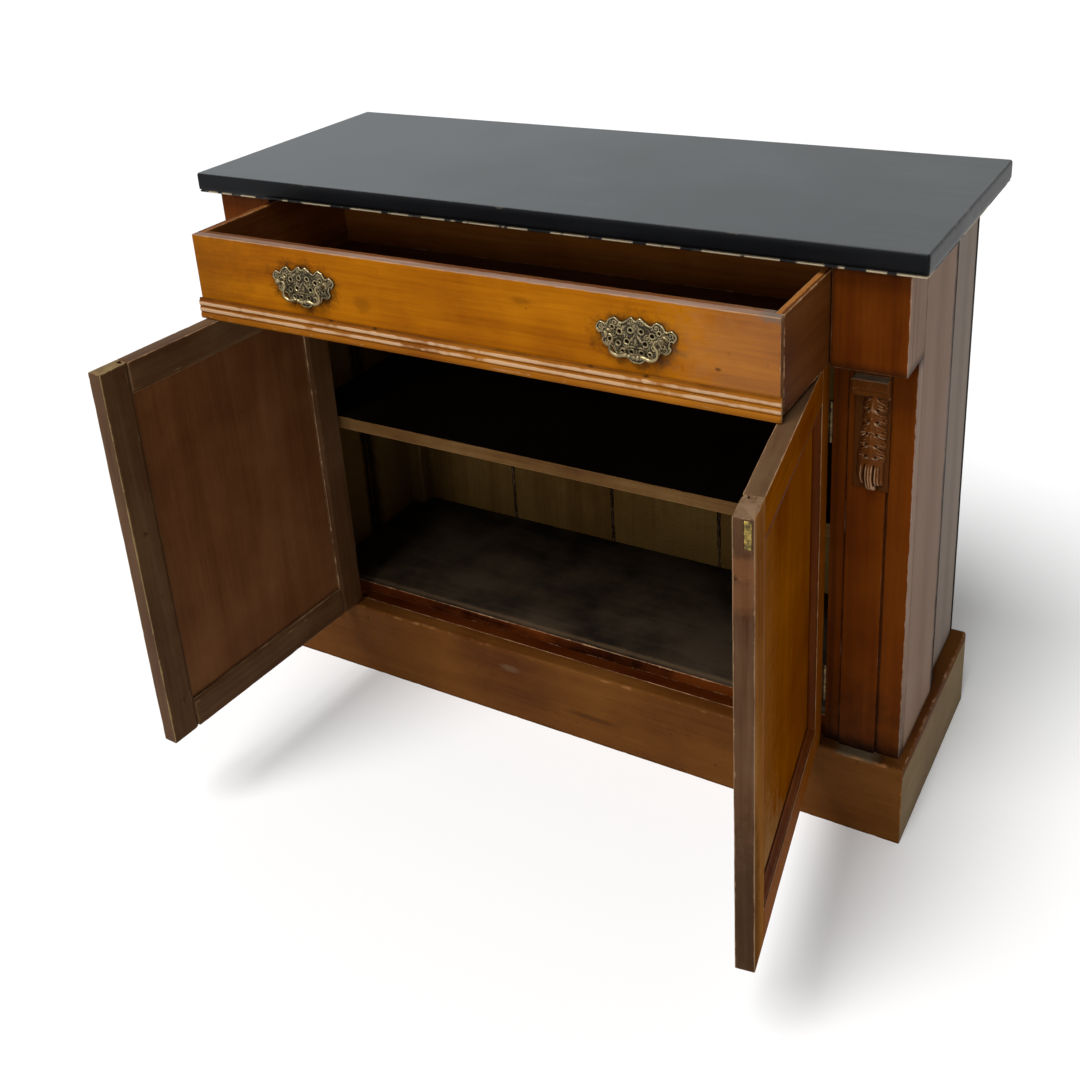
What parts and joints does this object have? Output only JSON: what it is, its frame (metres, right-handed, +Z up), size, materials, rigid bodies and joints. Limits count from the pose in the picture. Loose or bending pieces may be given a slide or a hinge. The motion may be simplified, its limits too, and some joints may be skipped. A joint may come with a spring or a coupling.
{
  "type": "side cabinet",
  "caption": "Side cabinet with one wide drawer over a pair of panelled doors, set between pilasters with carved corbels.",
  "frame": {"origin": "on the floor, under the middle of the plinth's front board", "axes": "+X to the right along the front, -Y the way the front faces, +Z up"},
  "size_m": [1.17, 0.8228, 0.942],
  "materials": {
    "black_top": "ebonised polish, worn grey on top",
    "amber_front": "worn french polish",
    "brown_polish": "aged polish",
    "brown_door": "aged polish, dull inside",
    "dusty_side": "dry and dusty",
    "bare_inside": "unfinished, aged",
    "old_brass": "tarnished"
  },
  "bodies": {
    "carcass": {"back_board_1": "bare_inside", "back_board_2": "bare_inside", "back_board_3": "bare_inside", "back_board_4": "bare_inside", "back_board_5": "bare_inside", "bottom_rail": "brown_polish", "corbel_left": "brown_polish", "corbel_right": "brown_polish", "drawer_rail": "bare_inside", "drawer_runner_left": "bare_inside", "drawer_runner_right": "bare_inside", "floor_board": "bare_inside", "frieze_block_left": "brown_polish", "frieze_block_right": "brown_polish", "hinge_left_lower_fixed_leaf": "old_brass", "hinge_left_upper_fixed_leaf": "old_brass", "hinge_right_lower_fixed_leaf": "old_brass", "hinge_right_upper_fixed_leaf": "old_brass", "pilaster_left": "brown_polish", "pilaster_right": "brown_polish", "plinth_front": "brown_polish", "plinth_side_left": "dusty_side", "plinth_side_right": "dusty_side", "rear_post_left": "bare_inside", "rear_post_right": "bare_inside", "shelf": "bare_inside", "shelf_bearer_left": "bare_inside", "shelf_bearer_right": "bare_inside", "side_front_board_left": "dusty_side", "side_front_board_right": "dusty_side", "side_rear_board_left": "dusty_side", "side_rear_board_right": "dusty_side", "top_board": "black_top"},
    "door_left": {"door_left_bottom_rail": "brown_door", "door_left_hinge_stile": "brown_door", "door_left_lock_stile": "brown_door", "door_left_moulding": "brown_polish", "door_left_panel": "brown_door", "door_left_top_rail": "brown_door", "hinge_left_upper_door_leaf": "old_brass", "hinge_left_lower_door_leaf": "old_brass"},
    "door_right": {"door_right_bolt_plate": "old_brass", "door_right_bottom_rail": "amber_front", "door_right_hinge_stile": "amber_front", "door_right_lock_stile": "amber_front", "door_right_moulding": "brown_polish", "door_right_panel": "amber_front", "door_right_top_rail": "amber_front", "hinge_right_upper_door_leaf": "old_brass", "hinge_right_lower_door_leaf": "old_brass"},
    "drawer": {"drawer_back": "bare_inside", "drawer_bottom": "bare_inside", "drawer_front": "amber_front", "drawer_reeded_moulding": "amber_front", "drawer_side_left": "bare_inside", "drawer_side_right": "bare_inside", "handle_plate_left": "old_brass", "handle_plate_right": "old_brass"},
    "bail_left": {"handle_bail_left": "old_brass"},
    "bail_right": {"handle_bail_right": "old_brass"}
  },
  "joints": [
    {"name": "drawer_slide", "type": "slide", "parent": "carcass", "child": "drawer", "axis": [0, -1, 0], "range_m": [-0.172, 0.08]},
    {"name": "door_left_hinge", "type": "hinge", "parent": "carcass", "child": "door_left", "pos_m": [-0.4468, 0.005, 0.45], "axis": [0, 0, -1], "range_deg": [-92.8, 17.6]},
    {"name": "door_right_hinge", "type": "hinge", "parent": "carcass", "child": "door_right", "pos_m": [0.4468, 0.005, 0.45], "axis": [0, 0, 1], "range_deg": [-99, 11.4]},
    {"name": "bail_left_hinge", "type": "hinge", "parent": "drawer", "child": "bail_left", "pos_m": [-0.251, -0.2278, 0.85], "axis": [-1, 0, 0], "range_deg": [0, 95]},
    {"name": "bail_right_hinge", "type": "hinge", "parent": "drawer", "child": "bail_right", "pos_m": [0.273, -0.2278, 0.85], "axis": [-1, 0, 0], "range_deg": [0, 95]}
  ]
}
